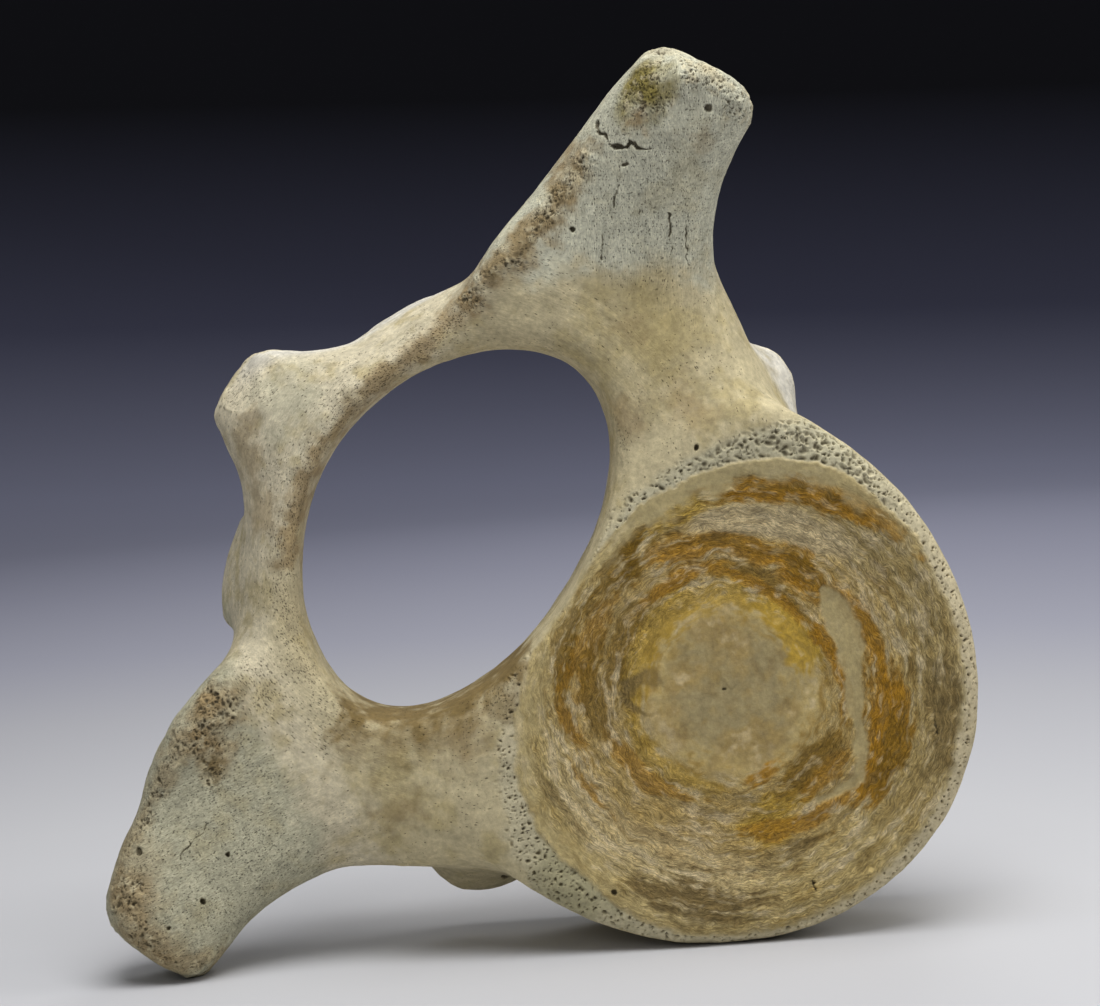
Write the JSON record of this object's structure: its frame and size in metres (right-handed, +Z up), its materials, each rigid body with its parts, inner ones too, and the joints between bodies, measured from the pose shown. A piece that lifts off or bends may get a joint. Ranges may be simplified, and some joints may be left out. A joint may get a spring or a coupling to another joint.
{
  "type": "whale vertebra",
  "caption": "Dry baleen whale vertebra from the front of the chest: a short round body, a wide open neural arch, a low spine and two blunt side processes, resting on its rim and one process.",
  "frame": {"origin": "on the floor, under the middle of the bone's bounding box in its resting pose", "axes": "+Z is up; -Y is the front of the body, the face that the picture shows; +X is the side of the round body, and -X the side of the lower transverse process"},
  "size_m": [0.4068, 0.117, 0.4105],
  "materials": {
    "bone": "dry weathered bone, matt, finely pored, grey cream with tan stains",
    "stained_bone": "dry bone end plate, matt, ringed fibres stained orange brown",
    "pale_bone": "dry bleached bone, matt, rough and pored"
  },
  "bodies": {
    "root": {"centrum": "bone", "front_epiphysis": "stained_bone", "rear_epiphysis": "stained_bone", "left_pedicle": "bone", "right_pedicle": "bone", "left_lamina": "bone", "right_lamina": "bone", "neural_spine": "pale_bone", "left_transverse_process": "bone", "right_transverse_process": "bone"}
  },
  "joints": []
}
